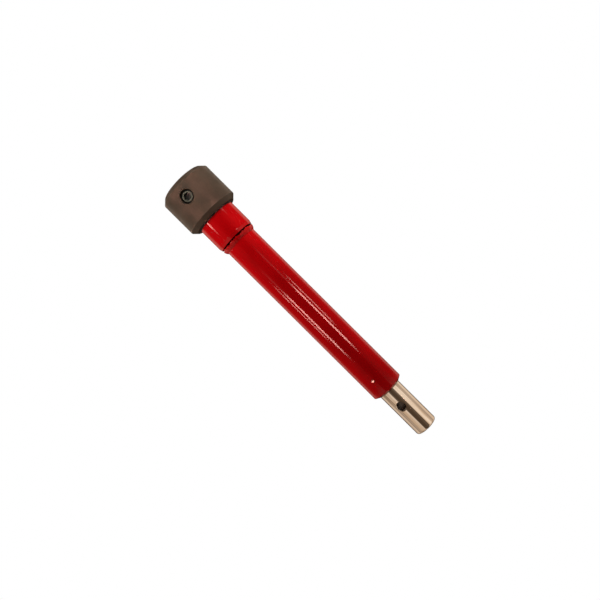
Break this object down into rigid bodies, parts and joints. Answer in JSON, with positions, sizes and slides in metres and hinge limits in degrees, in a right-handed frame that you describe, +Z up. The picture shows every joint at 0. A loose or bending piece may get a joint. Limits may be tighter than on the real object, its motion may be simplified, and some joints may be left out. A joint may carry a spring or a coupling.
{
  "type": "post driver",
  "caption": "Slide-hammer post driver: a barrel with a heavy striking cap slides on a rod whose plain shank pins into a post cup.",
  "frame": {"origin": "centre of the shank's lower face", "axes": "+Z up along the rod towards the striking cap; -Y is the side the hitch pin hole opens to"},
  "size_m": [0.0528, 0.0528, 0.3127],
  "materials": {
    "shank_steel": "polished bar with fine lengthwise lines",
    "tool_steel": "ground and blued",
    "spring_steel": "blued spring steel",
    "zinc_steel": "zinc plated",
    "red_paint": "glossy red powder coat",
    "cap_oxide": "satin brown-black oxide",
    "screw_oxide": "black oxide",
    "guide_bronze": "machined bronze",
    "pad_brass": "turned brass",
    "wear_acetal": "natural acetal",
    "bumper_urethane": "amber urethane",
    "wiper_rubber": "black nitrile"
  },
  "bodies": {
    "drive_rod": {"drive_rod": "shank_steel", "anvil_head": "tool_steel", "anvil_cross_pin": "spring_steel", "anvil_wear_rings": "wear_acetal"},
    "rebound_stack": {"rebound_bumper": "bumper_urethane", "bumper_washer": "zinc_steel"},
    "barrel": {"barrel_tube": "red_paint", "neck_collar": "red_paint", "neck_weld": "red_paint", "lower_guide_bush": "guide_bronze", "bush_retaining_pins": "red_paint", "rod_wiper": "wiper_rubber", "wiper_backing_washer": "zinc_steel", "mouth_ring": "red_paint", "striker_plug": "tool_steel", "striker_dowel": "spring_steel", "cap_seal_washer": "wiper_rubber", "strike_cap": "cap_oxide"},
    "set_screw_pad": {"set_screw_pad": "pad_brass"},
    "cap_set_screw": {"cap_set_screw": "screw_oxide"}
  },
  "joints": [
    {"name": "barrel_slide", "type": "slide", "parent": "drive_rod", "child": "rebound_stack", "axis": [0, 0, 1], "range_m": [0, 0.139]},
    {"name": "barrel_turn", "type": "hinge", "parent": "rebound_stack", "child": "barrel", "pos_m": [0, 0, 0.16], "axis": [0, 0, 1], "continuous": true},
    {"name": "pad_slide", "type": "slide", "parent": "barrel", "child": "set_screw_pad", "axis": [0.1392, -0.9903, 0], "range_m": [0, 0.0049]},
    {"name": "set_screw_turn", "type": "hinge", "parent": "set_screw_pad", "child": "cap_set_screw", "pos_m": [0.00284, -0.0202, 0.2963], "axis": [0.1392, -0.9903, 0], "range_deg": [0, 900]}
  ],
  "couplings": [
    {"joint": "pad_slide", "follows": "set_screw_turn", "m_per_rad": 0.00031096}
  ]
}
